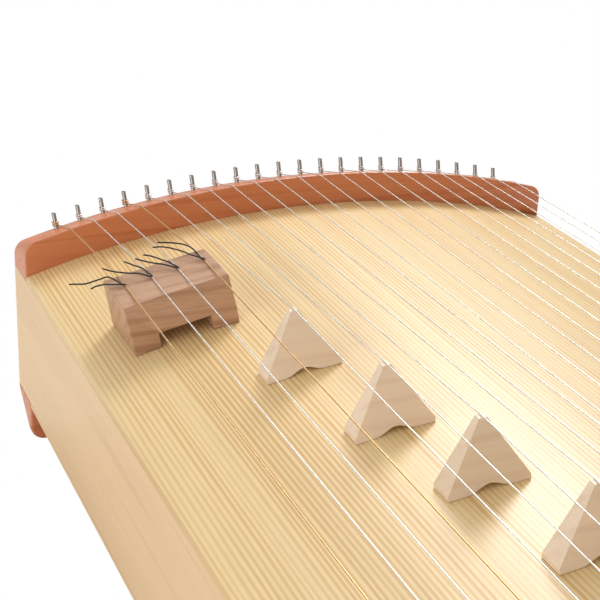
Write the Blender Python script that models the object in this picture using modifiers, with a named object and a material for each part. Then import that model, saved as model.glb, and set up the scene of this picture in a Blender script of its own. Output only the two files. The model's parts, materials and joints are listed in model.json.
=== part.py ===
"""Kotamo: a long box zither with an arched soundboard and three sets of strings over it.

The tambura strings lie over one broad bridge with cotton threads, the koto strings over single
movable bridges, and the monochord strings run free from end to end.

Metres, +Z up. +Y points to the tuning end and +X to the player's right when looking that way.
The origin is the middle of the footprint, on the surface that the instrument stands on.
"""

import math

import bmesh
import bpy
import numpy as np
from mathutils import Matrix, Vector

# Gap kept between pieces that touch
CLEARANCE = 0.0003

# Body
BODY_LENGTH = 1.200
BODY_WIDTH = 0.486
ARCH_RISE = 0.036
SIDE_HEIGHT = 0.111
SIDE_THICKNESS = 0.012
SOUNDBOARD_THICKNESS = 0.004
SOUNDBOARD_EDGE_RADIUS = 0.0025
BACK_THICKNESS = 0.004
END_BLOCK_LENGTH = 0.055

# Bracing under the soundboard
RIB_COUNT = 3
RIB_THICKNESS = 0.010
RIB_END_HEIGHT = 0.014
SPINE_WIDTH = 0.014
SPINE_HEIGHT = 0.024

# Pin block, hitch block and feet
BLOCK_LENGTH = 0.040
PIN_BLOCK_HEIGHT = 0.026
HITCH_BLOCK_HEIGHT = 0.034
BLOCK_SLOPE = math.radians(17.4)
BLOCK_CORNER_RADIUS = 0.012
CREST_RADIUS = 0.0015
BLOCK_BACK_RADIUS = 0.0015
FOOT_HEIGHT = 0.036
FOOT_END_HEIGHT = 0.014
FOOT_SOLE_LENGTH = 0.009
FOOT_EDGE_RADIUS = 0.002

# Strings, counted from the player's left
TAMBURA_STRINGS = 4
KOTO_STRINGS = 6
MONOCHORD_STRINGS = 12
STRING_PITCH = 0.020
STRING_ROW_SHIFT = 0.0045
TAMBURA_BRASS_WIRE = 0.0011
TAMBURA_STEEL_WIRE = 0.0009
KOTO_WIRE = 0.0009
MONOCHORD_WIRE = 0.0008
COIL_TURNS = 2.5
COIL_TURN_GAP = 0.00055
COIL_START = 0.0015
HITCH_TURNS = 1.25

# Tuning pins
PIN_RADIUS = 0.0018
PIN_DEPTH = 0.014
PIN_STAND = 0.0135
PIN_ROUND_STAND = 0.0065
PIN_HEAD_TAPER = 0.0002
PIN_TOP_CHAMFER = 0.0005
PIN_SETBACK = 0.034
PIN_LEAN = math.radians(22.0)
PIN_FAN = 0.4

# Hitch pins
HITCH_PIN_RADIUS = 0.0020
HITCH_PIN_STAND = 0.0080
HITCH_PIN_SETBACK = 0.028
HITCH_PIN_LEAN = math.radians(24.0)
HITCH_WIRE_HEIGHT = 0.0021

# Tambura bridge, places measured from the pin block's front face
TAMBURA_BRIDGE_PLACE = 0.150
TAMBURA_BRIDGE_LENGTH = 0.080
TAMBURA_BRIDGE_HEIGHT = 0.0370
TAMBURA_BASE_FRONT = 0.034
TAMBURA_BASE_BACK = 0.022
TAMBURA_TOP_FRONT = 0.028
TAMBURA_FOOT_LENGTH = 0.0200
TAMBURA_FOOT_HEIGHT = 0.0115
TAMBURA_CROWN_RADIUS = 0.500
TAMBURA_BRIDGE_SHIFT = -0.0015
TAMBURA_EDGE_RADIUS = 0.0007

# Koto bridges, places measured from the pin block's front face to each ridge
KOTO_BRIDGE_PLACES = (0.265, 0.361, 0.442, 0.527, 0.607, 0.683)
KOTO_BRIDGE_BASE = 0.0550
KOTO_BRIDGE_HEIGHT = 0.0435
KOTO_TOP_WIDTH = 0.0052
KOTO_FOOT_SIDE = 0.0030
KOTO_RIDGE_DEPTH = 0.0050
KOTO_FRONT_LEAN = 0.0095
KOTO_BACK_LEAN = 0.0035
KOTO_ARCH_WIDTH = 0.0280
KOTO_ARCH_RISE = 0.0040
KOTO_CROWN_RADIUS = 0.0150
KOTO_EDGE_RADIUS = 0.0006

# Cotton threads: their tails run left from the string, as (right, towards the pins, above the bridge)
THREAD_DIAMETER = 0.0012
THREAD_TAILS = (
    (
        ((-33.5, 29.0, 1.0), (-30.0, 27.5, 0.6), (-23.5, 22.0, 0.9), (-18.0, 20.5, 1.6), (-12.5, 18.5, 2.6),
         (-7.5, 16.0, 3.4)),
        ((-8.0, 5.0, 2.3), (-13.0, 10.5, 1.6), (-18.5, 13.0, 0.9), (-22.0, 12.5, 0.4)),
    ),
    (
        ((-28.0, 30.0, 4.6), (-25.0, 25.5, 3.9), (-20.5, 20.5, 3.2), (-14.0, 13.5, 3.0), (-7.5, 7.0, 3.2)),
        ((-3.0, 15.5, 2.6), (-5.5, 21.5, 2.5), (-8.5, 28.0, 2.9), (-11.0, 32.5, 3.4)),
    ),
    (
        ((-23.5, 28.5, 4.8), (-18.0, 21.5, 3.6), (-13.0, 15.5, 3.0), (-7.5, 8.0, 3.0)),
        ((-4.5, 12.0, 2.8), (-8.0, 20.0, 3.0), (-12.0, 27.5, 3.6), (-16.5, 31.5, 4.4)),
    ),
    (
        ((-21.5, 44.0, 4.6), (-16.0, 40.0, 4.2), (-10.0, 34.5, 3.9), (-5.0, 28.0, 3.4), (-2.5, 17.5, 3.1)),
        ((-6.5, 10.5, 2.8), (-10.0, 20.0, 3.0), (-15.0, 28.5, 3.6), (-20.5, 35.0, 4.2), (-27.0, 38.5, 4.6)),
    ),
)

# Where a thread lies over its string: angle round the wire, and place along it
THREAD_TURN = ((math.radians(-60), 0.0012), (math.radians(-25), 0.0006), (math.radians(10), 0.0))

# Fineness
ARCH_STEPS = 24
CORNER_STEPS = 5
COIL_STEPS = 12
KOTO_ARCH_STEPS = 10
ROUND_SIDES = 12

# Worked out from the driving dimensions
STRING_COUNT = TAMBURA_STRINGS + KOTO_STRINGS + MONOCHORD_STRINGS
HALF_WIDTH = BODY_WIDTH / 2
HALF_LENGTH = BODY_LENGTH / 2
ARCH_RADIUS = (HALF_WIDTH**2 + ARCH_RISE**2) / (2 * ARCH_RISE)
UNDER_RADIUS = ARCH_RADIUS - SOUNDBOARD_THICKNESS
RIM_TOP = FOOT_HEIGHT + CLEARANCE + SIDE_HEIGHT
ARCH_CENTRE = RIM_TOP + CLEARANCE - math.sqrt(UNDER_RADIUS**2 - HALF_WIDTH**2)
NUT_Y = HALF_LENGTH - BLOCK_LENGTH
TAU = 2 * math.pi

WOODS = {
    "spruce": ((0.80, 0.60, 0.34, 1.0), 0.45),
    "side_wood": ((0.72, 0.47, 0.25, 1.0), 0.45),
    "pear": ((0.50, 0.16, 0.06, 1.0), 0.40),
    "walnut": ((0.40, 0.24, 0.14, 1.0), 0.50),
    "maple": ((0.82, 0.66, 0.46, 1.0), 0.45),
    "cotton": ((0.01, 0.01, 0.01, 1.0), 0.90),
}
METALS = {
    "pin_steel": ((0.45, 0.43, 0.41, 1.0), 0.30),
    "steel_wire": ((0.75, 0.74, 0.72, 1.0), 0.25),
    "brass_wire": ((0.75, 0.50, 0.22, 1.0), 0.30),
}


def clear_scene():
    for old in list(bpy.data.objects):
        bpy.data.objects.remove(old, do_unlink=True)


def new_collection(name):
    group = bpy.data.collections.new(name)
    bpy.context.scene.collection.children.link(group)
    return group


def make_materials():
    made = {}
    for table, metallic in ((WOODS, 0.0), (METALS, 1.0)):
        for name, (colour, roughness) in table.items():
            material = bpy.data.materials.new(name)
            material.use_nodes = True
            shader = material.node_tree.nodes["Principled BSDF"]
            shader.inputs["Base Color"].default_value = colour
            shader.inputs["Roughness"].default_value = roughness
            shader.inputs["Metallic"].default_value = metallic
            material.diffuse_color = colour
            made[name] = material
    return made


clear_scene()
PARTS = new_collection("kotamo")
CUTTERS = new_collection("cutters")
MATERIALS = make_materials()


def add_part(name, data, material, matrix=None):
    part = bpy.data.objects.new(name, data)
    data.materials.append(MATERIALS[material])
    PARTS.objects.link(part)
    if matrix is not None:
        part.matrix_world = matrix
    return part


def add_cutter(name, mesh, matrix=None):
    cutter = bpy.data.objects.new(name, mesh)
    CUTTERS.objects.link(cutter)
    cutter.hide_render = True
    cutter.display_type = "WIRE"
    if matrix is not None:
        cutter.matrix_world = matrix
    return cutter


def add_boolean(part, cutter, operation):
    step = part.modifiers.new(cutter.name, "BOOLEAN")
    step.operation = operation
    step.object = cutter
    step.solver = "EXACT"


def add_bevel(part, width, segments, angle):
    step = part.modifiers.new("edges", "BEVEL")
    step.width = width
    step.segments = segments
    step.limit_method = "ANGLE"
    step.angle_limit = math.radians(angle)


def smooth_by_angle(mesh, angle=30.0):
    mesh.shade_smooth()
    mesh.set_sharp_from_angle(angle=math.radians(angle))


def arc_points(centre, radius, start, end, steps):
    """Points on an arc, both ends included."""
    angles = [start + (end - start) * i / steps for i in range(steps + 1)]
    return [(centre[0] + radius * math.cos(a), centre[1] + radius * math.sin(a)) for a in angles]


def arch_height(x, radius):
    """Height of the arch of that radius, which shares the soundboard's centre."""
    return ARCH_CENTRE + math.sqrt(radius**2 - x**2)


def arch_points(radius, half_width, steps=ARCH_STEPS):
    """Points across the arch, from left to right."""
    return [
        (x, arch_height(x, radius))
        for x in (half_width * (2 * i / steps - 1) for i in range(steps + 1))
    ]


def flat_outline(name, outline, depth):
    """A filled outline in the curve's own plane, as thick as depth, as a mesh."""
    curve = bpy.data.curves.new(name, "CURVE")
    curve.dimensions = "2D"
    curve.fill_mode = "BOTH"
    curve.extrude = depth / 2
    spline = curve.splines.new("POLY")
    spline.points.add(len(outline) - 1)
    for point, (x, y) in zip(spline.points, outline):
        point.co = (x, y, 0, 1)
    spline.use_cyclic_u = True
    return curve


def curve_to_mesh(curve, name):
    """The curve's surface as a mesh with its caps welded."""
    holder = bpy.data.objects.new(name + "_curve", curve)
    bpy.context.scene.collection.objects.link(holder)
    graph = bpy.context.evaluated_depsgraph_get()
    mesh = bpy.data.meshes.new_from_object(holder.evaluated_get(graph))
    mesh.name = name
    bpy.data.objects.remove(holder, do_unlink=True)
    shape = bmesh.new()
    shape.from_mesh(mesh)
    bmesh.ops.remove_doubles(shape, verts=shape.verts, dist=1e-6)
    bmesh.ops.recalc_face_normals(shape, faces=shape.faces)
    shape.to_mesh(mesh)
    shape.free()
    return mesh


def upright(y):
    """Stands a flat outline up across the instrument, its middle at y: outline x is X, outline y is Z."""
    return Matrix.Translation((0, y, 0)) @ Matrix.Rotation(math.pi / 2, 4, "X")


def sideways(x):
    """Stands a flat outline up along the instrument, its middle at x: outline x is Y, outline y is Z."""
    axes = Matrix(((0, 0, 1, 0), (1, 0, 0, 0), (0, 1, 0, 0), (0, 0, 0, 1)))
    return Matrix.Translation((x, 0, 0)) @ axes


def prism_along_y(name, outline, low, high, material):
    """A straight bar with that cross-section from Y low to Y high."""
    curve = flat_outline(name, outline, high - low)
    return add_part(name, curve, material, upright((low + high) / 2))


def loft(name, sections):
    """Skin through sections of as many points each, given as (y, [(x, z), ...]), with closed ends."""
    shape = bmesh.new()
    rings = [[shape.verts.new((x, y, z)) for x, z in outline] for y, outline in sections]
    for here, there in zip(rings, rings[1:]):
        for i in range(len(here)):
            j = (i + 1) % len(here)
            shape.faces.new((here[i], here[j], there[j], there[i]))
    shape.faces.new(rings[0])
    shape.faces.new(list(reversed(rings[-1])))
    bmesh.ops.recalc_face_normals(shape, faces=shape.faces)
    mesh = bpy.data.meshes.new(name)
    shape.to_mesh(mesh)
    shape.free()
    smooth_by_angle(mesh)
    return mesh


# Body


def make_soundboard():
    top_angle = math.asin(HALF_WIDTH / ARCH_RADIUS)
    radius = SOUNDBOARD_EDGE_RADIUS
    fillet_x = HALF_WIDTH - radius
    fillet_z = ARCH_CENTRE + math.sqrt((ARCH_RADIUS - radius) ** 2 - fillet_x**2)
    flat = (arch_points(ARCH_RADIUS, fillet_x + radius * math.sin(top_angle)))
    right = arc_points((fillet_x, fillet_z), radius, math.pi / 2 - top_angle, 0, 3)
    left = [(-x, z) for x, z in reversed(right)]
    outline = left + flat[1:-1] + right + list(reversed(arch_points(UNDER_RADIUS, HALF_WIDTH)))
    prism_along_y("soundboard", outline, CLEARANCE - NUT_Y, NUT_Y - CLEARANCE, "spruce")


def make_back_board():
    low = FOOT_HEIGHT - BACK_THICKNESS
    outline = [(-HALF_WIDTH, low), (HALF_WIDTH, low), (HALF_WIDTH, FOOT_HEIGHT), (-HALF_WIDTH, FOOT_HEIGHT)]
    prism_along_y("back_board", outline, CLEARANCE - NUT_Y, NUT_Y - CLEARANCE, "side_wood")


def make_side_panels():
    inner = HALF_WIDTH - SIDE_THICKNESS
    rim = UNDER_RADIUS - CLEARANCE
    bottom = FOOT_HEIGHT + CLEARANCE
    for name, side in (("left_side_panel", -1), ("right_side_panel", 1)):
        outline = [
            (side * inner, bottom),
            (side * HALF_WIDTH, bottom),
            (side * HALF_WIDTH, arch_height(HALF_WIDTH, rim)),
            (side * inner, arch_height(inner, rim)),
        ]
        prism_along_y(name, outline, -HALF_LENGTH, HALF_LENGTH, "side_wood")


def make_end_blocks():
    half = HALF_WIDTH - SIDE_THICKNESS - CLEARANCE
    bottom = FOOT_HEIGHT + CLEARANCE
    outline = [(half, bottom), (-half, bottom)] + arch_points(UNDER_RADIUS - CLEARANCE, half)
    inner = HALF_LENGTH - END_BLOCK_LENGTH
    prism_along_y("tuning_end_block", outline, inner, HALF_LENGTH, "spruce")
    prism_along_y("hitch_end_block", outline, -HALF_LENGTH, -inner, "spruce")


def make_bracing():
    """Arched ribs glued across one spine, between the side panels and the end blocks."""
    half = HALF_WIDTH - SIDE_THICKNESS - CLEARANCE
    rim = UNDER_RADIUS - CLEARANCE
    rib_bottom = arch_height(half, rim) - RIB_END_HEIGHT
    rib_outline = [(half, rib_bottom), (-half, rib_bottom)] + arch_points(rim, half)
    reach = HALF_LENGTH - END_BLOCK_LENGTH - CLEARANCE
    spine_top = arch_height(SPINE_WIDTH / 2, rim)
    spine = bmesh.new()
    bmesh.ops.create_cube(spine, size=1.0)
    bmesh.ops.scale(spine, vec=(SPINE_WIDTH, 2 * reach, SPINE_HEIGHT), verts=spine.verts)
    bmesh.ops.translate(spine, vec=(0, 0, spine_top - SPINE_HEIGHT / 2), verts=spine.verts)
    mesh = bpy.data.meshes.new("soundboard_bracing")
    spine.to_mesh(mesh)
    spine.free()
    bracing = add_part("soundboard_bracing", mesh, "spruce")
    spacing = 2 * reach / (RIB_COUNT + 1)
    for i in range(RIB_COUNT):
        rib = curve_to_mesh(flat_outline("rib", rib_outline, RIB_THICKNESS), f"rib_{i + 1}")
        place = spacing * (i + 1) - reach
        add_boolean(bracing, add_cutter(f"rib_{i + 1}", rib, upright(place)), "UNION")


# Pin block, hitch block and feet


def block_corner_height(height):
    """Height at which the block's front face and its sloped top would meet without the rounded crest."""
    return height - CREST_RADIUS + CREST_RADIUS * (math.tan(BLOCK_SLOPE) + 1 / math.cos(BLOCK_SLOPE))


def block_top(height, setback):
    """Height of the sloped top above the soundboard, that far behind the block's front face."""
    return block_corner_height(height) - setback * math.tan(BLOCK_SLOPE)


def block_profile(height):
    """The block's top line from front to back, as (setback, height, inset of the end faces)."""
    crest_centre = height - CREST_RADIUS
    slope_normal = math.pi / 2 - BLOCK_SLOPE
    profile = [
        (CREST_RADIUS + y, crest_centre + z, max(0.0, -y) * (1 - math.sin(angle)))
        for angle, (y, z) in (
            (a, (CREST_RADIUS * math.cos(a), CREST_RADIUS * math.sin(a)))
            for a in (math.pi + (slope_normal - math.pi) * i / CORNER_STEPS for i in range(CORNER_STEPS + 1))
        )
    ]
    radius = BLOCK_BACK_RADIUS
    back_centre = block_top(height, BLOCK_LENGTH - radius) - radius / math.cos(BLOCK_SLOPE)
    for i in range(3):
        angle = slope_normal * (1 - i / 2)
        y = BLOCK_LENGTH - radius + radius * math.cos(angle)
        inset = radius * (1 - math.sin(angle)) if i else 0.0
        profile.append((y, back_centre + radius * math.sin(angle), inset))
    return profile


def block_outline(height, inset):
    """Cross-section of a block: arched underside, straight ends, rounded upper corners, arched top."""
    half = HALF_WIDTH - inset
    corner = BLOCK_CORNER_RADIUS - inset
    top = ARCH_RADIUS + height
    centre_x = half - corner
    centre_z = ARCH_CENTRE + math.sqrt((top - corner) ** 2 - centre_x**2)
    tilt = math.atan2(centre_z - ARCH_CENTRE, centre_x)
    right = arc_points((centre_x, centre_z), corner, 0, tilt, CORNER_STEPS)
    left = [(-x, z) for x, z in reversed(right)]
    crown = arc_points((0, ARCH_CENTRE), top, tilt, math.pi - tilt, ARCH_STEPS)
    return arch_points(UNDER_RADIUS, half) + right + crown[1:-1] + left


def block_mesh(name, height):
    sections = [(y, block_outline(top, inset)) for y, top, inset in block_profile(height)]
    return loft(name, sections)


def block_surface_point(height, x, setback):
    """The point on the sloped top above that x, in the block's own frame."""
    return Vector((x, setback, arch_height(x, ARCH_RADIUS + block_top(height, setback))))


def foot_outline(bottom, inset):
    """Cross-section of a foot: flat top, straight ends and rounded lower corners."""
    half = HALF_WIDTH - inset
    corner = BLOCK_CORNER_RADIUS - inset
    right = arc_points((half - corner, bottom + corner), corner, -math.pi / 2, 0, CORNER_STEPS)
    left = [(-x, z) for x, z in reversed(right)]
    return right + [(half, FOOT_HEIGHT), (-half, FOOT_HEIGHT)] + left


def foot_mesh(name):
    """A foot with a flat sole along its front and an underside that rises to the end."""
    radius = FOOT_EDGE_RADIUS
    sections = []
    for angle in (math.pi * (1 + i / 4) for i in (0, 1, 2)):
        drop = radius * (1 + math.sin(angle))
        sections.append((radius * (1 + math.cos(angle)), foot_outline(drop, drop)))
    sections.append((FOOT_SOLE_LENGTH, foot_outline(0.0, 0.0)))
    sections.append((BLOCK_LENGTH, foot_outline(FOOT_HEIGHT - FOOT_END_HEIGHT, 0.0)))
    return loft(name, sections)


def end_matrix(end):
    """Places a block at the tuning end (1) or, turned round, at the hitch end (-1)."""
    turn = Matrix.Identity(4) if end > 0 else Matrix.Rotation(math.pi, 4, "Z")
    return Matrix.Translation((0, end * NUT_Y, 0)) @ turn


# Tuning pins and hitch pins


def string_x(number):
    middle = (STRING_COUNT + 1) / 2
    return STRING_ROW_SHIFT + (number - middle) * STRING_PITCH


def wire_of(number):
    if number in (1, TAMBURA_STRINGS):
        return TAMBURA_BRASS_WIRE
    if number <= TAMBURA_STRINGS:
        return TAMBURA_STEEL_WIRE
    if number <= TAMBURA_STRINGS + KOTO_STRINGS:
        return KOTO_WIRE
    return MONOCHORD_WIRE


def pin_axes(x, lean, fan):
    """A pin's frame: its axis leans back from the front face and fans with the arch."""
    tilt = fan * math.asin(x / ARCH_RADIUS)
    axis = Vector((math.sin(tilt) * math.cos(lean), math.sin(lean), math.cos(tilt) * math.cos(lean)))
    across = Vector((math.cos(tilt), 0, -math.sin(tilt)))
    return across, axis.cross(across), axis


def frame_matrix(origin, axes):
    matrix = Matrix([[*(axis[i] for axis in axes), origin[i]] for i in range(3)] + [[0, 0, 0, 1]])
    return matrix


def coil_radius(number, pin_radius):
    return pin_radius + CLEARANCE + wire_of(number) / 2


def tuning_pin_frame(number):
    """Where the pin's axis leaves the block, placed so that the coil lets the string go straight."""
    x = string_x(number) - coil_radius(number, PIN_RADIUS)
    base = block_surface_point(PIN_BLOCK_HEIGHT, x, PIN_SETBACK)
    base.y += NUT_Y
    return frame_matrix(base, pin_axes(x, PIN_LEAN, PIN_FAN))


def pin_mesh():
    """A round pin with a tapered square head, its origin where it leaves the block."""
    shape = bmesh.new()
    bmesh.ops.create_cone(
        shape, cap_ends=True, segments=ROUND_SIDES, radius1=PIN_RADIUS, radius2=PIN_RADIUS,
        depth=PIN_DEPTH + PIN_ROUND_STAND,
        matrix=Matrix.Translation((0, 0, (PIN_ROUND_STAND - PIN_DEPTH) / 2)),
    )
    mesh = bpy.data.meshes.new("tuning_pin")
    shape.to_mesh(mesh)
    shape.free()
    return mesh


def pin_head_mesh():
    """The square head: its lower corners lie just inside the round shank."""
    shape = bmesh.new()
    low = PIN_ROUND_STAND - 0.001
    corner = PIN_RADIUS - CLEARANCE / 3
    turn = Matrix.Rotation(math.pi / 4, 4, "Z")
    height = PIN_STAND - low
    bmesh.ops.create_cone(
        shape, cap_ends=True, segments=4, radius1=corner, radius2=corner - PIN_HEAD_TAPER, depth=height,
        matrix=Matrix.Translation((0, 0, low + height / 2)) @ turn,
    )
    top = [e for e in shape.edges if all(v.co.z > PIN_STAND - 1e-5 for v in e.verts)]
    bmesh.ops.bevel(shape, geom=top, offset=PIN_TOP_CHAMFER, segments=1, affect="EDGES")
    mesh = bpy.data.meshes.new("tuning_pin_head")
    shape.to_mesh(mesh)
    shape.free()
    return mesh


def hole_mesh(radius, depth, rise):
    """A cutter from depth below its origin to rise above it."""
    shape = bmesh.new()
    bmesh.ops.create_cone(
        shape, cap_ends=True, segments=ROUND_SIDES, radius1=radius, radius2=radius, depth=depth + rise,
        matrix=Matrix.Translation((0, 0, (rise - depth) / 2)),
    )
    mesh = bpy.data.meshes.new("hole")
    shape.to_mesh(mesh)
    shape.free()
    return mesh


def joined(name, mesh, matrices):
    """One mesh with a copy of that mesh under each matrix."""
    shape = bmesh.new()
    for matrix in matrices:
        start = len(shape.verts)
        shape.from_mesh(mesh)
        shape.verts.ensure_lookup_table()
        bmesh.ops.transform(shape, matrix=matrix, verts=shape.verts[start:])
    result = bpy.data.meshes.new(name)
    shape.to_mesh(result)
    shape.free()
    return result


def hitch_groups():
    """Strings that share a hitch pin: each tambura and koto string alone, the monochord strings by twos."""
    singles = TAMBURA_STRINGS + KOTO_STRINGS
    groups = [(number,) for number in range(1, singles + 1)]
    groups += [
        tuple(n for n in (number, number + 1) if n <= STRING_COUNT)
        for number in range(singles + 1, STRING_COUNT + 1, 2)
    ]
    return groups


def hitch_pin_frame(group):
    """The hitch pin's frame in the instrument: its axis leans away from the strings."""
    middle = sum(string_x(number) for number in group) / len(group)
    if len(group) == 1:
        middle -= coil_radius(group[0], HITCH_PIN_RADIUS)
    turned = block_surface_point(HITCH_BLOCK_HEIGHT, -middle, HITCH_PIN_SETBACK)
    across, forward, axis = pin_axes(-middle, HITCH_PIN_LEAN, PIN_FAN)
    return end_matrix(-1) @ frame_matrix(turned, (across, forward, axis))


def make_blocks():
    reach = PIN_DEPTH + CLEARANCE
    pins = [tuning_pin_frame(number) for number in range(1, STRING_COUNT + 1)]
    pin_block = add_part(
        "pin_block", block_mesh("pin_block", PIN_BLOCK_HEIGHT), "pear", end_matrix(1)
    )
    drill = hole_mesh(PIN_RADIUS + CLEARANCE, reach, PIN_STAND)
    add_boolean(pin_block, add_cutter("pin_holes", joined("pin_holes", drill, pins)), "DIFFERENCE")

    hitch_block = add_part(
        "hitch_block", block_mesh("hitch_block", HITCH_BLOCK_HEIGHT), "pear", end_matrix(-1)
    )
    hitches = [hitch_pin_frame(group) for group in hitch_groups()]
    stud = hole_mesh(HITCH_PIN_RADIUS, HITCH_PIN_STAND, HITCH_PIN_STAND)
    add_boolean(hitch_block, add_cutter("hitch_pins", joined("hitch_pins", stud, hitches)), "UNION")

    add_part("tuning_foot", foot_mesh("tuning_foot"), "pear", end_matrix(1))
    add_part("hitch_foot", foot_mesh("hitch_foot"), "pear", end_matrix(-1))


def make_tuning_pins():
    shank, head = pin_mesh(), pin_head_mesh()
    for number in range(1, STRING_COUNT + 1):
        frame = tuning_pin_frame(number)
        pin = add_part(f"tuning_pin_{number:02d}", shank.copy(), "pin_steel", frame)
        add_boolean(pin, add_cutter(f"pin_head_{number:02d}", head, frame), "UNION")


# Bridges


def seat_matrix(x_string, height, place):
    """A frame on the soundboard, square to the arch, whose axis passes under that string height."""
    tilt = math.asin(x_string / (ARCH_RADIUS + height))
    x = ARCH_RADIUS * math.sin(tilt)
    z = ARCH_CENTRE + ARCH_RADIUS * math.cos(tilt)
    return Matrix.Translation((x, NUT_Y - place, z)) @ Matrix.Rotation(tilt, 4, "Y")


def sole_height(x):
    """Height of a sole that follows the arch, at x beside the middle of its bridge."""
    return math.sqrt((ARCH_RADIUS + CLEARANCE) ** 2 - x**2) - ARCH_RADIUS


def crown_points(front, back, height, radius, steps):
    """A crowned top line from front to back, highest at zero."""
    spots = [front + (back - front) * i / steps for i in range(steps + 1)]
    return [(y, height - radius + math.sqrt(radius**2 - y**2)) for y in spots]


def bridge(name, front_view, side_view, depth, width, material, matrix, edge_radius):
    """The common space of a bridge's front outline and its side outline, with eased edges."""
    body = curve_to_mesh(flat_outline(name, front_view, depth), name)
    part = add_part(name, body, material, matrix)
    body.transform(Matrix.Rotation(math.pi / 2, 4, "X"))
    side = curve_to_mesh(flat_outline(name, side_view, width), name + "_side")
    side.transform(sideways(0))
    add_boolean(part, add_cutter(name + "_side", side, matrix), "INTERSECT")
    add_bevel(part, edge_radius, 2, 40.0)
    return part


def tambura_bridge_middle():
    numbers = range(1, TAMBURA_STRINGS + 1)
    return TAMBURA_BRIDGE_SHIFT + sum(string_x(number) for number in numbers) / TAMBURA_STRINGS


def tambura_bridge_tilt():
    return math.asin(tambura_bridge_middle() / (ARCH_RADIUS + TAMBURA_BRIDGE_HEIGHT))


def make_tambura_bridge():
    matrix = seat_matrix(tambura_bridge_middle(), TAMBURA_BRIDGE_HEIGHT, TAMBURA_BRIDGE_PLACE)
    half = TAMBURA_BRIDGE_LENGTH / 2
    gap = half - TAMBURA_FOOT_LENGTH
    front_view = [
        (-half, sole_height(half)),
        (-gap, sole_height(gap)),
        (-gap, TAMBURA_FOOT_HEIGHT),
        (gap, TAMBURA_FOOT_HEIGHT),
        (gap, sole_height(gap)),
        (half, sole_height(half)),
        (half, TAMBURA_BRIDGE_HEIGHT),
        (-half, TAMBURA_BRIDGE_HEIGHT),
    ]
    top = crown_points(-TAMBURA_TOP_FRONT, TAMBURA_BASE_BACK, TAMBURA_BRIDGE_HEIGHT, TAMBURA_CROWN_RADIUS, 8)
    below = -TAMBURA_FOOT_HEIGHT
    side_view = [
        (TAMBURA_BASE_BACK, below),
        (-TAMBURA_BASE_FRONT, below),
        (-TAMBURA_BASE_FRONT, TAMBURA_FOOT_HEIGHT),
    ] + top
    depth = 3 * TAMBURA_BASE_FRONT
    width = 2 * TAMBURA_BRIDGE_LENGTH
    bridge(
        "tambura_bridge", front_view, side_view, depth, width, "walnut", matrix, TAMBURA_EDGE_RADIUS
    )


def make_koto_bridges():
    half = KOTO_BRIDGE_BASE / 2
    top = KOTO_TOP_WIDTH / 2
    wave = [
        (x, sole_height(x) + KOTO_ARCH_RISE * (1 + math.cos(TAU * x / KOTO_ARCH_WIDTH)) / 2)
        for x in (KOTO_ARCH_WIDTH * (i / KOTO_ARCH_STEPS - 0.5) for i in range(KOTO_ARCH_STEPS + 1))
    ]
    front_view = (
        [(-half, sole_height(half))]
        + wave
        + [(half, sole_height(half)), (half, KOTO_FOOT_SIDE), (top, KOTO_BRIDGE_HEIGHT)]
        + [(-top, KOTO_BRIDGE_HEIGHT), (-half, KOTO_FOOT_SIDE)]
    )
    ridge = KOTO_RIDGE_DEPTH / 2
    back = ridge + KOTO_BACK_LEAN
    front = -ridge - KOTO_FRONT_LEAN
    crown = crown_points(-ridge, ridge, KOTO_BRIDGE_HEIGHT, KOTO_CROWN_RADIUS, 4)
    side_view = [(back, -KOTO_FOOT_SIDE), (front, -KOTO_FOOT_SIDE), (front, 0), *crown, (back, 0)]
    for i in range(KOTO_STRINGS):
        matrix = seat_matrix(
            string_x(TAMBURA_STRINGS + 1 + i), KOTO_BRIDGE_HEIGHT, KOTO_BRIDGE_PLACES[i]
        )
        bridge(
            f"koto_bridge_{i + 1}", front_view, side_view, 3 * KOTO_FRONT_LEAN + 3 * KOTO_RIDGE_DEPTH,
            2 * KOTO_BRIDGE_BASE, "maple", matrix, KOTO_EDGE_RADIUS,
        )


# Strings


def helix(frame, radius, start, pitch, turns, first_angle):
    """Turns of wire round a pin, from the top of the coil down to its start height."""
    steps = round(turns * COIL_STEPS)
    points = []
    for i in range(steps, -1, -1):
        angle = first_angle + TAU * turns * i / steps
        height = start + pitch * turns * i / steps
        points.append(frame @ Vector((radius * math.cos(angle), radius * math.sin(angle), height)))
    return points


def contact_circles(number):
    """What the string lies on between its pins, as (y, z, radius): each crest and any bridge."""
    x = string_x(number)
    reach = CREST_RADIUS + CLEARANCE + wire_of(number) / 2
    circles = [
        (
            end * (NUT_Y + CREST_RADIUS),
            arch_height(x, ARCH_RADIUS + height) - CREST_RADIUS,
            reach,
        )
        for end, height in ((1, PIN_BLOCK_HEIGHT), (-1, HITCH_BLOCK_HEIGHT))
    ]
    if number <= TAMBURA_STRINGS:
        place, height, crown = TAMBURA_BRIDGE_PLACE, TAMBURA_BRIDGE_HEIGHT, TAMBURA_CROWN_RADIUS
        tilt = tambura_bridge_tilt()
        beside = x - tambura_bridge_middle()
        top = ARCH_CENTRE + (ARCH_RADIUS + height) * math.cos(tilt) - beside * math.tan(tilt)
    elif number <= TAMBURA_STRINGS + KOTO_STRINGS:
        place = KOTO_BRIDGE_PLACES[number - TAMBURA_STRINGS - 1]
        height, crown = KOTO_BRIDGE_HEIGHT, KOTO_CROWN_RADIUS
        top = arch_height(x, ARCH_RADIUS + height)
    else:
        return circles
    lift = crown + CLEARANCE + wire_of(number) / 2
    return [circles[0], (NUT_Y - place, top - crown, lift), circles[1]]


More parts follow.
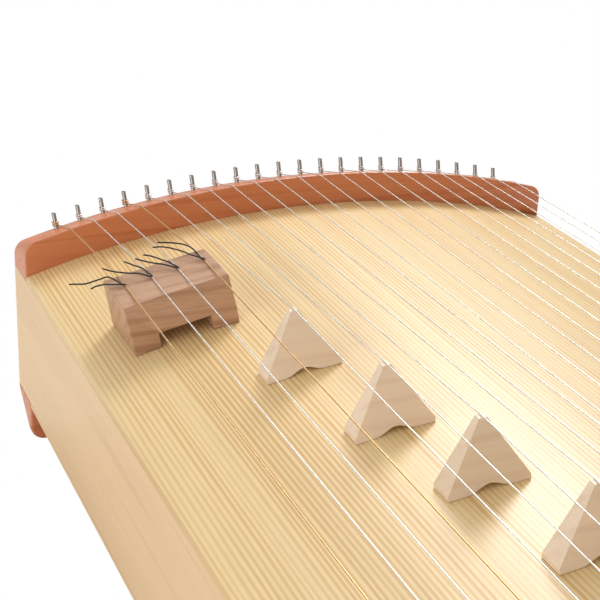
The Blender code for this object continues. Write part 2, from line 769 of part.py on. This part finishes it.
def belt(start, circles, end):
    """Where a taut line from start to end, in Y and Z, touches the circles it lies on."""
    nodes = [(*start, 0.0), *circles, (*end, 0.0)]
    touched = []
    for (y1, z1, r1), (y2, z2, r2) in zip(nodes, nodes[1:]):
        reach = math.hypot(y2 - y1, z2 - z1)
        along = ((y2 - y1) / reach, (z2 - z1) / reach)
        up = (along[1], -along[0])
        lean = math.asin((r1 - r2) / reach)
        normal = tuple(up[i] * math.cos(lean) + along[i] * math.sin(lean) for i in (0, 1))
        touched.append(((y1 + r1 * normal[0], z1 + r1 * normal[1]), (y2 + r2 * normal[0], z2 + r2 * normal[1])))
    contacts = []
    for (_, arrives), (leaves, _), (y, z, radius) in zip(touched, touched[1:], circles):
        first = math.atan2(arrives[1] - z, arrives[0] - y)
        last = math.atan2(leaves[1] - z, leaves[0] - y)
        contacts.append(arc_points((y, z), radius, first, last, 3))
    return contacts


def string_run(number, start, end):
    """Points of one string from its tuning pin's coil to its hitch pin, both ends left out."""
    contacts = belt((start.y, start.z), contact_circles(number), (end.y, end.z))
    return [Vector((string_x(number), y, z)) for spots in contacts for y, z in spots]


def coil_and_exit(number):
    """The turns round a tuning pin, their straight upper end first, and their last point at the pin's side."""
    frame = tuning_pin_frame(number)
    wire = wire_of(number)
    turns = helix(
        frame, coil_radius(number, PIN_RADIUS), COIL_START, wire + COIL_TURN_GAP, COIL_TURNS, 0.0
    )
    tail = turns[0] + (turns[0] - turns[1]).normalized() * 2 * wire
    return [tail] + turns


def hitch_turns(group, number, side):
    """Turns round a hitch pin that start on the string's side of it and end above the start."""
    frame = hitch_pin_frame(group)
    wire = wire_of(number)
    radius = coil_radius(number, HITCH_PIN_RADIUS)
    steps = round(HITCH_TURNS * COIL_STEPS)
    points = []
    for i in range(steps + 1):
        angle = side * TAU * HITCH_TURNS * i / steps + (0 if side > 0 else math.pi)
        height = HITCH_WIRE_HEIGHT + (wire + COIL_TURN_GAP) * HITCH_TURNS * i / steps
        points.append(frame @ Vector((radius * math.cos(angle), radius * math.sin(angle), height)))
    return points


def wire_curve(name, points, diameter):
    curve = bpy.data.curves.new(name, "CURVE")
    curve.dimensions = "3D"
    curve.bevel_depth = diameter / 2
    curve.bevel_resolution = 1
    curve.use_fill_caps = True
    spline = curve.splines.new("POLY")
    spline.points.add(len(points) - 1)
    for point, place in zip(spline.points, points):
        point.co = (*place, 1)
    return curve


def least_gap(points, diameter, apart):
    """Least distance between the surfaces of a wire's points that lie that many diameters or more apart."""
    spots = np.array([tuple(p) for p in points])
    fine = np.concatenate([
        a + (b - a) * np.linspace(0, 1, 4, endpoint=False)[:, None] for a, b in zip(spots, spots[1:])
    ])
    travelled = np.concatenate([[0], np.cumsum(np.linalg.norm(np.diff(fine, axis=0), axis=1))])
    distance = np.linalg.norm(fine[:, None] - fine[None], axis=2)
    far = np.abs(travelled[:, None] - travelled[None]) > apart * diameter
    return float(distance[far].min() - diameter)


def string_material(number):
    return "brass_wire" if wire_of(number) == TAMBURA_BRASS_WIRE else "steel_wire"


def make_single_string(name, group):
    number = group[0]
    coil = coil_and_exit(number)
    turns = hitch_turns(group, number, -1)
    points = coil + string_run(number, coil[-1], turns[0]) + turns
    add_part(name, wire_curve(name, points, wire_of(number)), string_material(number))
    return coil


def make_doubled_string(name, group):
    """One wire for two strings: it turns back round the hitch pin between them."""
    first, second = group
    frame = hitch_pin_frame(group)
    radius = coil_radius(first, HITCH_PIN_RADIUS)
    bend = [
        frame @ Vector((radius * math.cos(a), radius * math.sin(a), HITCH_WIRE_HEIGHT))
        for a in (math.pi * i / 6 for i in range(7))
    ]
    coils = [coil_and_exit(number) for number in group]
    out = coils[0] + string_run(first, coils[0][-1], bend[0])
    back = coils[1] + string_run(second, coils[1][-1], bend[-1])
    if (bend[0] - out[-1]).length > (bend[-1] - out[-1]).length:
        bend.reverse()
    points = out + bend + list(reversed(back))
    add_part(name, wire_curve(name, points, wire_of(first)), string_material(first))
    return coils[0]


def make_strings():
    gaps = []
    for group in hitch_groups():
        name = "string_" + "_".join(f"{number:02d}" for number in group)
        make = make_single_string if len(group) == 1 else make_doubled_string
        coil = make(name, group)
        gaps.append(least_gap(coil, wire_of(group[0]), 4))
    print(f"least gap between the turns of a coil: {min(gaps) * 1000:.2f} mm")


# Cotton threads


def smooth_route(points, spacing):
    """A smooth curve through the points, sampled about that far apart."""
    anchors = [points[0] * 2 - points[1], *points, points[-1] * 2 - points[-2]]
    route = []
    for a, b, c, d in zip(anchors, anchors[1:], anchors[2:], anchors[3:]):
        steps = max(1, round((c - b).length / spacing))
        for i in range(steps):
            t = i / steps
            route.append(
                0.5 * (2 * b + (c - a) * t + (2 * a - 5 * b + 4 * c - d) * t**2 + (3 * b - a - 3 * c + d) * t**3)
            )
    return route + [points[-1]]


def thread_points(number):
    """One thread: its first tail, one turn round the string on the bridge, and its second tail."""
    circle = contact_circles(number)[1]
    knot = Vector((string_x(number), circle[0], circle[1] + circle[2]))
    upper = circle[1] + circle[2] - wire_of(number) / 2 - CLEARANCE
    ring = wire_of(number) / 2 + CLEARANCE + THREAD_DIAMETER / 2
    fall = math.tan(tambura_bridge_tilt())
    first, second = (
        [
            Vector((
                knot.x + x / 1000,
                knot.y + y / 1000,
                upper + (z - x * fall) / 1000 + THREAD_DIAMETER / 2,
            ))
            for x, y, z in tail
        ]
        for tail in THREAD_TAILS[number - 1]
    )
    over = [
        knot + Vector((ring * math.sin(angle), forward, ring * math.cos(angle)))
        for angle, forward in THREAD_TURN
    ]
    return smooth_route(first + over + second, 2.2 * THREAD_DIAMETER)


def make_threads():
    for number in range(1, TAMBURA_STRINGS + 1):
        name = f"cotton_thread_{number}"
        add_part(name, wire_curve(name, thread_points(number), THREAD_DIAMETER), "cotton")


make_soundboard()
make_back_board()
make_side_panels()
make_end_blocks()
make_bracing()
make_blocks()
make_tuning_pins()
make_tambura_bridge()
make_koto_bridges()
make_strings()
make_threads()
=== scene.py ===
"""Looks of the kotamo: woods, wires, pins, bridges and cotton threads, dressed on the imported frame."""

import json
import math

import bmesh
import bpy
from mathutils import Matrix, Vector


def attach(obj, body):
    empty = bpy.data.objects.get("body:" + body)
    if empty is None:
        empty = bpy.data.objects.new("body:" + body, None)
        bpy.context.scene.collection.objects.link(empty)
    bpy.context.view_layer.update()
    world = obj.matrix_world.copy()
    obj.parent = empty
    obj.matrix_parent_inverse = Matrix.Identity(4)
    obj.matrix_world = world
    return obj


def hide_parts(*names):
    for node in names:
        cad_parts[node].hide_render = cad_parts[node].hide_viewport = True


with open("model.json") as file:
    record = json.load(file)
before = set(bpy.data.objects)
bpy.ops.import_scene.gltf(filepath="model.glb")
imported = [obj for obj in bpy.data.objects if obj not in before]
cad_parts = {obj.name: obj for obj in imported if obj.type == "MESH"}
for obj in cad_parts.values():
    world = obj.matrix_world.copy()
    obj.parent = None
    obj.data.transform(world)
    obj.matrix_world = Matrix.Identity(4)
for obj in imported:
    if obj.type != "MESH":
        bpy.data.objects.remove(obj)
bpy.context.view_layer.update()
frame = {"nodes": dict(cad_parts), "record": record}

BEHAVIOUR = frame["record"]["behaviour"]
BODY_OF = {node: body for body, nodes in BEHAVIOUR["bodies"].items() for node in nodes}
SLOT_OF = {part["node"]: part["material_slot"] for part in frame["record"]["subparts"]}
PIN_JOINTS = {joint["child"]: joint for joint in BEHAVIOUR["joints"] if joint["type"] == "hinge"}
MM_PER_M = 1000

# Camera, solved from the photograph's strings, pins, arch and block edges
CAMERA_PLACE = Vector((-0.4777, -0.4785, 0.6089))
CAMERA_YAW = math.radians(24.78)
CAMERA_PITCH = math.radians(24.07)
CAMERA_ROLL = math.radians(-2.81)
CAMERA_LENS_MM = 84.4
SENSOR_MM = 36.0

# Tambura strings: the diameter of each wire, and the stretch of it that lies on the bridge
TAMBURA_WIRES = {1: 0.0011, 2: 0.0009, 3: 0.0009, 4: 0.0011}
TAMBURA_TOP_Y = 0.410
TAMBURA_TOP_REACH = 0.02

# Cotton threads: the tail of each that runs in to its string, then the tail that runs out from it.
# Points are right, towards the pins and above the bridge, in millimetres, from where the string crosses it
THREAD_TAILS = {
    1: (
        ((-33.5, 29.0, 1.0), (-30.0, 27.5, 0.6), (-23.5, 22.0, 0.9), (-18.0, 20.5, 1.6), (-12.5, 18.5, 2.6),
         (-7.5, 16.0, 3.4)),
        ((-8.0, 5.0, 2.3), (-13.0, 10.5, 1.6), (-18.5, 13.0, 0.9), (-22.0, 12.5, 0.4)),
    ),
    2: (
        ((-28.0, 30.0, 4.6), (-25.0, 25.5, 3.9), (-20.5, 20.5, 3.2), (-14.0, 13.5, 3.0), (-7.5, 7.0, 3.2)),
        ((-3.0, 15.5, 2.6), (-5.5, 21.5, 2.5), (-8.5, 28.0, 2.9), (-11.0, 32.5, 3.4)),
    ),
    3: (
        ((-23.5, 28.5, 4.8), (-18.0, 21.5, 3.6), (-13.0, 15.5, 3.0), (-7.5, 8.0, 3.0)),
        ((-4.5, 12.0, 2.8), (-8.0, 20.0, 3.0), (-12.0, 27.5, 3.6), (-16.5, 31.5, 4.4)),
    ),
    4: (
        ((-21.5, 44.0, 4.6), (-16.0, 40.0, 4.2), (-10.0, 34.5, 3.9), (-5.0, 28.0, 3.4), (-2.5, 17.5, 3.1)),
        ((-6.5, 10.5, 2.8), (-10.0, 20.0, 3.0), (-15.0, 28.5, 3.6), (-20.5, 35.0, 4.2), (-27.0, 38.5, 4.6)),
    ),
}
THREAD_DIAMETER = 0.0012
THREAD_SPACING = 2.2 * THREAD_DIAMETER
THREAD_ROUNDNESS = 3

# Where a thread lies over its string: angle round the wire from its top, and place along it
THREAD_TURN = ((math.radians(-60), 0.0012), (math.radians(-25), 0.0006), (math.radians(10), 0.0))
THREAD_GAP = 0.0003

# Tuning pins: their ends are measured along the axis from the place of their joint
PIN_RADIUS = 0.0018
PIN_BELOW = 0.010
PIN_ABOVE = 0.0134
PIN_FACETS = 24
PIN_DOME_WIDTH = 0.7 * PIN_RADIUS
PIN_DOME_STEPS = 4
PIN_CRISP_ANGLE = math.radians(50)
PIN_TOP_TOLERANCE = 1e-5

# CAD meshes: vertices nearer than this are joined, and faces that meet at less than this angle become one
WELD_DISTANCE = 1e-6
FLAT_ANGLE = math.radians(0.5)

# Faces that meet at more than this angle keep a crisp edge between them
CRISP_ANGLES = {"steel_wire": math.radians(70), "brass_wire": math.radians(70)}
WOOD_CRISP_ANGLE = math.radians(18)

# Rounding of the plain boards' edges, which are sharp in the CAD
EDGE_WIDTHS = {"left_side_panel": 0.0006, "right_side_panel": 0.0006, "back_board": 0.0008}
EDGE_STEPS = 2
EDGE_ANGLE = math.radians(40)

# Directions of the grain: across the body, or along its strings
ACROSS = 0
LENGTHWISE = 1

# The wave texture repeats at this distance at scale 1, and at twice that along each axis when diagonal
WAVE_PERIOD = math.tau / 20

# Wood: growth lines, patches in which they fade, fibres and broad clouds.
# Each pair of scales is for the directions across the grain and along it
LINE_WAVES = {"Scale": 1.0, "Distortion": 4.5, "Detail": 2.0, "Detail Scale": 1.2}
LINE_STRETCH = 0.02
PATCH_SCALES = (75.0, 1.6)
PATCH_FADE = {"From Min": 0.35, "From Max": 0.65, "To Min": 0.45}
FIBRE_SCALES = (900.0, 14.0)
FIBRE_NOISE = {"Detail": 3.0, "Roughness": 0.6}
FIBRE_STOPS = (0.3, 0.65)
FIBRE_WARMTH = 0.98
CLOUD_SCALES = (22.0, 2.0)
CLOUD_STOPS = (0.3, 0.7)
CLOUD_TINT = (0.90, 0.88, 0.84, 1)
WOOD_COAT = {"Coat Weight": 0.12, "Coat Roughness": 0.35}
WOOD_BUMP = {"Strength": 0.12, "Distance": 0.0003}
SOFT_NOISE = {"Detail": 2.0}
WHITE = (1, 1, 1, 1)

# Metal: spots that are a little darker and smoother than what lies between them
SPOT_SCALE = 600.0
SPOT_STOPS = (0.35, 0.65)
SPOT_DARKNESS = 0.8
SPOT_ROUGHNESS = (0.8, 1.3)

# Cotton: the bands of its twist
TWIST_SCALE = 700.0
TWIST_WAVES = {"Scale": 1.0, "Distortion": 1.0}
TWIST_STOPS = (0.2, 0.8)
COTTON_SURFACE = {"Roughness": 0.85, "Sheen Weight": 0.3}
COTTON_BUMP = {"Strength": 0.5, "Distance": 0.0002}

# Studio: the camera sees the floor and the world as plain white. Other rays, glossy ones too, meet the
# floor's own surface and the world's fill light
FLOOR_SIZE = 12
FLOOR_SURFACE = {"Base Color": (0.86, 0.86, 0.86, 1), "Roughness": 0.9}
SEEN_LIGHT = {"Color": WHITE, "Strength": 1.0}
FILL_LIGHT = {"Color": (1.0, 0.985, 0.96, 1), "Strength": 0.5}

# Round area lights: name, place, target, diameter and power in watts
LIGHTS = (
    ("key", (1.0, 1.7, 1.7), (0, 0.3, 0.15), 0.8, 30),
    ("overhead", (0.1, 1.3, 2.2), (0, 0.2, 0.15), 1.8, 12),
    ("left_fill", (-2.2, -0.6, 1.0), (0, 0.2, 0.1), 1.8, 20),
)


def add_object(name, data):
    """A new object in the scene."""
    thing = bpy.data.objects.new(name, data)
    bpy.context.scene.collection.objects.link(thing)
    return thing


def add_camera():
    """The scene's camera, in the place that the photograph was taken from."""
    forward = Vector((
        math.sin(CAMERA_YAW) * math.cos(CAMERA_PITCH),
        math.cos(CAMERA_YAW) * math.cos(CAMERA_PITCH),
        -math.sin(CAMERA_PITCH),
    ))
    level = forward.cross(Vector((0, 0, 1))).normalized()
    down = forward.cross(level)
    right = math.cos(CAMERA_ROLL) * level + math.sin(CAMERA_ROLL) * down
    up = math.sin(CAMERA_ROLL) * level - math.cos(CAMERA_ROLL) * down
    rows = [[right[i], up[i], -forward[i], CAMERA_PLACE[i]] for i in range(3)]
    data = bpy.data.cameras.new("camera")
    data.sensor_width = SENSOR_MM
    data.lens = CAMERA_LENS_MM
    camera = add_object("camera", data)
    camera.matrix_world = Matrix(rows + [[0, 0, 0, 1]])
    bpy.context.scene.camera = camera


# Materials


def linear(red, green, blue):
    """A photograph's colour, from 0 to 255, as the linear colour that a shader takes, by the sRGB curve."""
    def channel(value):
        value /= 255
        return value / 12.92 if value <= 0.04045 else ((value + 0.055) / 1.055) ** 2.4
    return (channel(red), channel(green), channel(blue), 1.0)


def set_inputs(node, values):
    """Sets a node's sockets by name."""
    for name, value in values.items():
        node.inputs[name].default_value = value


def new_material(name):
    """A new material, its node tree and its main shader."""
    material = bpy.data.materials.new(name)
    material.use_nodes = True
    return material, material.node_tree, material.node_tree.nodes["Principled BSDF"]


def add_node(tree, kind, values):
    """A new node with these values in its sockets."""
    node = tree.nodes.new(kind)
    set_inputs(node, values)
    return node


def stretched_coordinates(tree, scale):
    """The object's own coordinates in metres, times a scale for each axis."""
    place = tree.nodes.new("ShaderNodeTexCoord")
    mapping = add_node(tree, "ShaderNodeMapping", {"Scale": scale})
    tree.links.new(place.outputs["Object"], mapping.inputs["Vector"])
    return mapping.outputs["Vector"]


def stretched_noise(tree, scale, values):
    """Noise with a scale for each axis."""
    noise = add_node(tree, "ShaderNodeTexNoise", {"Scale": 1.0, **values})
    tree.links.new(stretched_coordinates(tree, scale), noise.inputs["Vector"])
    return noise.outputs["Fac"]


def stretched_waves(tree, scale, direction, values):
    """Bands with a scale for each axis, across X or diagonal."""
    wave = add_node(tree, "ShaderNodeTexWave", values)
    wave.bands_direction = direction
    tree.links.new(stretched_coordinates(tree, scale), wave.inputs["Vector"])
    return wave.outputs["Fac"]


def grain_scale(grain, across, along):
    """A scale for each axis, with its own value on the grain's axis."""
    return [along if axis == grain else across for axis in range(3)]


def ramp(tree, source, stops):
    """A colour that follows a value through stops of position and colour."""
    node = tree.nodes.new("ShaderNodeValToRGB")
    elements = node.color_ramp.elements
    while len(elements) < len(stops):
        elements.new(0.5)
    for element, (position, colour) in zip(elements, stops):
        element.position = position
        element.color = colour
    tree.links.new(source, node.inputs["Fac"])
    return node.outputs["Color"]


def multiply(tree, first, second):
    """One colour times another."""
    node = tree.nodes.new("ShaderNodeMix")
    node.data_type = "RGBA"
    node.blend_type = "MULTIPLY"
    node.inputs["Factor"].default_value = 1.0
    tree.links.new(first, node.inputs["A"])
    tree.links.new(second, node.inputs["B"])
    return node.outputs["Result"]


def add_bump(tree, shader, height, values):
    """Fine relief on a shader's surface."""
    bump = add_node(tree, "ShaderNodeBump", values)
    tree.links.new(height, bump.inputs["Height"])
    tree.links.new(bump.outputs["Normal"], shader.inputs["Normal"])


def wood(name, light, dark, grain, line_gap, roughness, contrast=0.12, line_share=0.6):
    """Wood with growth lines along its grain.

    line_gap is the distance between lines where the grain runs lengthwise. Elsewhere they run diagonally
    through the block, and are twice as far apart along each axis. contrast is the darkness of the fibres,
    and line_share the upper part of the wave's height, from 0 to 1, that shades from light to dark.
    """
    material, tree, shader = new_material(name)
    line_scale = WAVE_PERIOD / line_gap
    direction = "X" if grain == LENGTHWISE else "DIAGONAL"
    lines = stretched_waves(
        tree, grain_scale(grain, line_scale, line_scale * LINE_STRETCH), direction, LINE_WAVES
    )
    patches = stretched_noise(tree, grain_scale(grain, *PATCH_SCALES), SOFT_NOISE)
    fade = add_node(tree, "ShaderNodeMapRange", PATCH_FADE)
    tree.links.new(patches, fade.inputs["Value"])
    marked = tree.nodes.new("ShaderNodeMath")
    marked.operation = "MULTIPLY"
    tree.links.new(lines, marked.inputs[0])
    tree.links.new(fade.outputs["Result"], marked.inputs[1])
    line_stops = [(0.0, light), (1 - line_share, light), (1.0, dark)]
    line_colour = ramp(tree, marked.outputs["Value"], line_stops)

    fibres = stretched_noise(tree, grain_scale(grain, *FIBRE_SCALES), FIBRE_NOISE)
    low = 1 - contrast
    fibre_tint = (low, low, low * FIBRE_WARMTH, 1)
    fibre_colour = ramp(tree, fibres, list(zip(FIBRE_STOPS, (fibre_tint, WHITE))))

    clouds = stretched_noise(tree, grain_scale(grain, *CLOUD_SCALES), SOFT_NOISE)
    cloud_colour = ramp(tree, clouds, list(zip(CLOUD_STOPS, (CLOUD_TINT, WHITE))))

    colour = multiply(tree, multiply(tree, line_colour, fibre_colour), cloud_colour)
    tree.links.new(colour, shader.inputs["Base Color"])
    set_inputs(shader, {"Roughness": roughness, **WOOD_COAT})
    add_bump(tree, shader, fibres, WOOD_BUMP)
    return material


def metal(name, colour, roughness):
    """Drawn or plated metal with a faint uneven shine."""
    material, tree, shader = new_material(name)
    spots = stretched_noise(tree, (SPOT_SCALE, SPOT_SCALE, SPOT_SCALE), SOFT_NOISE)
    dull = tuple(value * SPOT_DARKNESS for value in colour[:3]) + (1.0,)
    tint = ramp(tree, spots, list(zip(SPOT_STOPS, (dull, colour))))
    tree.links.new(tint, shader.inputs["Base Color"])
    lowest, highest = (roughness * share for share in SPOT_ROUGHNESS)
    spread = add_node(tree, "ShaderNodeMapRange", {"To Min": lowest, "To Max": highest})
    tree.links.new(spots, spread.inputs["Value"])
    tree.links.new(spread.outputs["Result"], shader.inputs["Roughness"])
    shader.inputs["Metallic"].default_value = 1.0
    return material


def cotton(name, dark, light):
    """Twisted thread."""
    material, tree, shader = new_material(name)
    twist = stretched_waves(tree, (TWIST_SCALE, TWIST_SCALE, TWIST_SCALE), "DIAGONAL", TWIST_WAVES)
    tint = ramp(tree, twist, list(zip(TWIST_STOPS, (dark, light))))
    tree.links.new(tint, shader.inputs["Base Color"])
    set_inputs(shader, COTTON_SURFACE)
    add_bump(tree, shader, twist, COTTON_BUMP)
    return material


# The finish of each material slot, and of the soundboard, which differs from its slot's other pieces
FINISHES = {
    "soundboard": wood(
        "soundboard_spruce", linear(240, 214, 162), linear(218, 172, 108), LENGTHWISE,
        line_gap=0.0036, roughness=0.40, contrast=0.07, line_share=0.9,
    ),
    "spruce": wood(
        "spruce", linear(236, 210, 158), linear(220, 180, 122), ACROSS, line_gap=0.0042, roughness=0.5,
    ),
    "side_wood": wood(
        "side_wood", linear(240, 204, 156), linear(228, 186, 136), LENGTHWISE,
        line_gap=0.0030, roughness=0.45, contrast=0.07,
    ),
    "pear": wood(
        "cherry", linear(216, 132, 86), linear(200, 112, 68), ACROSS,
        line_gap=0.0070, roughness=0.38, contrast=0.10,
    ),
    "walnut": wood(
        "walnut", linear(204, 160, 128), linear(178, 130, 98), ACROSS,
        line_gap=0.0070, roughness=0.45, contrast=0.18,
    ),
    "maple": wood(
        "maple", linear(248, 226, 202), linear(240, 214, 188), ACROSS,
        line_gap=0.0080, roughness=0.42, contrast=0.04,
    ),
    "pin_steel": metal("nickel_pin", linear(176, 168, 160), roughness=0.34),
    "steel_wire": metal("steel_wire", linear(250, 249, 246), roughness=0.36),
    "brass_wire": metal("brass_wire", linear(238, 196, 140), roughness=0.36),
    "cotton": cotton("cotton", dark=linear(14, 13, 14), light=linear(38, 36, 38)),
}


# Pieces that stand for CAD nodes


def pin_mesh(name, place, axis):
    """A plain round pin with a domed top, along its joint's axis."""
    shape = bmesh.new()
    middle = Matrix.Translation((0, 0, (PIN_ABOVE - PIN_BELOW) / 2))
    bmesh.ops.create_cone(
        shape, cap_ends=True, segments=PIN_FACETS, radius1=PIN_RADIUS, radius2=PIN_RADIUS,
        depth=PIN_ABOVE + PIN_BELOW, matrix=middle,
    )
    lowest_top = PIN_ABOVE - PIN_TOP_TOLERANCE
    top = [edge for edge in shape.edges if all(vertex.co.z > lowest_top for vertex in edge.verts)]
    bmesh.ops.bevel(
        shape, geom=top, offset=PIN_DOME_WIDTH, segments=PIN_DOME_STEPS, profile=0.5, affect="EDGES"
    )
    turn = Vector(axis).to_track_quat("Z", "Y").to_matrix().to_4x4()
    bmesh.ops.transform(shape, matrix=Matrix.Translation(place) @ turn, verts=shape.verts)
    mesh = bpy.data.meshes.new(name)
    shape.to_mesh(mesh)
    shape.free()
    mesh.shade_smooth()
    mesh.set_sharp_from_angle(angle=PIN_CRISP_ANGLE)
    return mesh


def dressed_mesh(node):
    """The mesh that stands for a CAD node: a domed pin, or a welded and smoothly shaded copy."""
    name = node + "_dressed"
    if node in PIN_JOINTS:
        joint = PIN_JOINTS[node]
        return pin_mesh(name, joint["pos_m"], joint["axis"])
    mesh = frame["nodes"][node].data.copy()
    mesh.name = name
    shape = bmesh.new()
    shape.from_mesh(mesh)
    bmesh.ops.remove_doubles(shape, verts=shape.verts, dist=WELD_DISTANCE)
    bmesh.ops.dissolve_limit(shape, angle_limit=FLAT_ANGLE, verts=shape.verts, edges=shape.edges)
    shape.to_mesh(mesh)
    shape.free()
    mesh.materials.clear()
    mesh.shade_smooth()
    mesh.set_sharp_from_angle(angle=CRISP_ANGLES.get(SLOT_OF[node], WOOD_CRISP_ANGLE))
    return mesh


def dress(node):
    """Puts a finished piece in the place of a CAD node."""
    slot = SLOT_OF[node]
    mesh = dressed_mesh(node)
    mesh.materials.append(FINISHES.get(node, FINISHES[slot]))
    piece = add_object(node + "_finish", mesh)
    if node in EDGE_WIDTHS:
        bevel = piece.modifiers.new("edges", "BEVEL")
        bevel.width = EDGE_WIDTHS[node]
        bevel.segments = EDGE_STEPS
        bevel.limit_method = "ANGLE"
        bevel.angle_limit = EDGE_ANGLE
    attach(piece, BODY_OF[node])
    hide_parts(node)


# Cotton threads


def smooth_route(points, spacing):
    """A Catmull-Rom curve through the points, sampled about that far apart."""
    anchors = [points[0] * 2 - points[1], *points, points[-1] * 2 - points[-2]]
    route = []
    for a, b, c, d in zip(anchors, anchors[1:], anchors[2:], anchors[3:]):
        steps = max(1, round((c - b).length / spacing))
        for i in range(steps):
            t = i / steps
            first = (c - a) * t
            second = (2 * a - 5 * b + 4 * c - d) * t**2
            third = (3 * b - a - 3 * c + d) * t**3
            route.append(0.5 * (2 * b + first + second + third))
    return route + [points[-1]]


def string_top(number):
    """The top of a tambura string where it lies on the bridge, in the middle of its width."""
    vertices = frame["nodes"][f"string_{number:02d}"].data.vertices
    near = [v.co for v in vertices if abs(v.co.y - TAMBURA_TOP_Y) < TAMBURA_TOP_REACH]
    top = max(co.z for co in near)
    middle = sum(co.x for co in near) / len(near)
    return Vector((middle, TAMBURA_TOP_Y, top))


def thread_route(number):
    """The points that a cotton thread follows: in along one tail, over its string and out along the other."""
    wire = TAMBURA_WIRES[number]
    centre = string_top(number)
    centre.z -= wire / 2
    bridge_top = centre.z - wire / 2 - THREAD_GAP
    left, right = string_top(min(TAMBURA_WIRES)), string_top(max(TAMBURA_WIRES))
    slope = (right.z - left.z) / (right.x - left.x)
    tail_in, tail_out = (
        [
            Vector((
                centre.x + x / MM_PER_M,
                centre.y + y / MM_PER_M,
                bridge_top + (z + x * slope) / MM_PER_M + THREAD_DIAMETER / 2,
            ))
            for x, y, z in tail
        ]
        for tail in THREAD_TAILS[number]
    )
    ring = wire / 2 + THREAD_GAP + THREAD_DIAMETER / 2
    over = [
        centre + Vector((ring * math.sin(angle), forward, ring * math.cos(angle)))
        for angle, forward in THREAD_TURN
    ]
    return smooth_route(tail_in + over + tail_out, THREAD_SPACING)


def make_thread(number):
    """A cotton thread on its tambura string."""
    points = thread_route(number)
    curve = bpy.data.curves.new(f"cotton_thread_{number}_finish", "CURVE")
    curve.dimensions = "3D"
    curve.bevel_depth = THREAD_DIAMETER / 2
    curve.bevel_resolution = THREAD_ROUNDNESS
    curve.use_fill_caps = True
    spline = curve.splines.new("POLY")
    spline.points.add(len(points) - 1)
    for point, place in zip(spline.points, points):
        point.co = (*place, 1)
    curve.materials.append(FINISHES["cotton"])
    piece = add_object(f"cotton_thread_{number}_finish", curve)
    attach(piece, BODY_OF[f"cotton_thread_{number}"])
    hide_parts(f"cotton_thread_{number}")


# Studio


def mix_by_camera_ray(tree, unseen, seen):
    """One shader for what the camera sees directly, and another for every other ray."""
    rays = tree.nodes.new("ShaderNodeLightPath")
    mix = tree.nodes.new("ShaderNodeMixShader")
    tree.links.new(rays.outputs["Is Camera Ray"], mix.inputs["Fac"])
    tree.links.new(unseen, mix.inputs[1])
    tree.links.new(seen, mix.inputs[2])
    return mix.outputs["Shader"]


def add_floor():
    """A pale floor that the camera sees as white."""
    bpy.ops.mesh.primitive_plane_add(size=FLOOR_SIZE)
    floor = bpy.context.object
    floor.name = "floor"
    material, tree, shader = new_material("floor")
    set_inputs(shader, FLOOR_SURFACE)
    glow = add_node(tree, "ShaderNodeEmission", SEEN_LIGHT)
    mixed = mix_by_camera_ray(tree, shader.outputs["BSDF"], glow.outputs["Emission"])
    tree.links.new(mixed, tree.nodes["Material Output"].inputs["Surface"])
    floor.data.materials.append(material)


def add_world():
    """A white background to the camera, and a soft warm fill to the object."""
    world = bpy.data.worlds.new("studio")
    bpy.context.scene.world = world
    world.use_nodes = True
    tree = world.node_tree
    tree.nodes.clear()
    fill = add_node(tree, "ShaderNodeBackground", FILL_LIGHT)
    seen = add_node(tree, "ShaderNodeBackground", SEEN_LIGHT)
    output = tree.nodes.new("ShaderNodeOutputWorld")
    mixed = mix_by_camera_ray(tree, fill.outputs["Background"], seen.outputs["Background"])
    tree.links.new(mixed, output.inputs["Surface"])


def add_light(name, place, target, diameter, power):
    """A round area light that faces its target."""
    data = bpy.data.lights.new(name, "AREA")
    data.shape = "DISK"
    data.size = diameter
    data.energy = power
    light = add_object(name, data)
    light.location = place
    light.rotation_euler = (Vector(target) - Vector(place)).to_track_quat("-Z", "Y").to_euler()


add_camera()
for string_number in TAMBURA_WIRES:
    make_thread(string_number)
for node_name in frame["nodes"]:
    if SLOT_OF[node_name] != "cotton":
        dress(node_name)
add_floor()
add_world()
for light_values in LIGHTS:
    add_light(*light_values)
bpy.context.scene.view_settings.view_transform = "Standard"
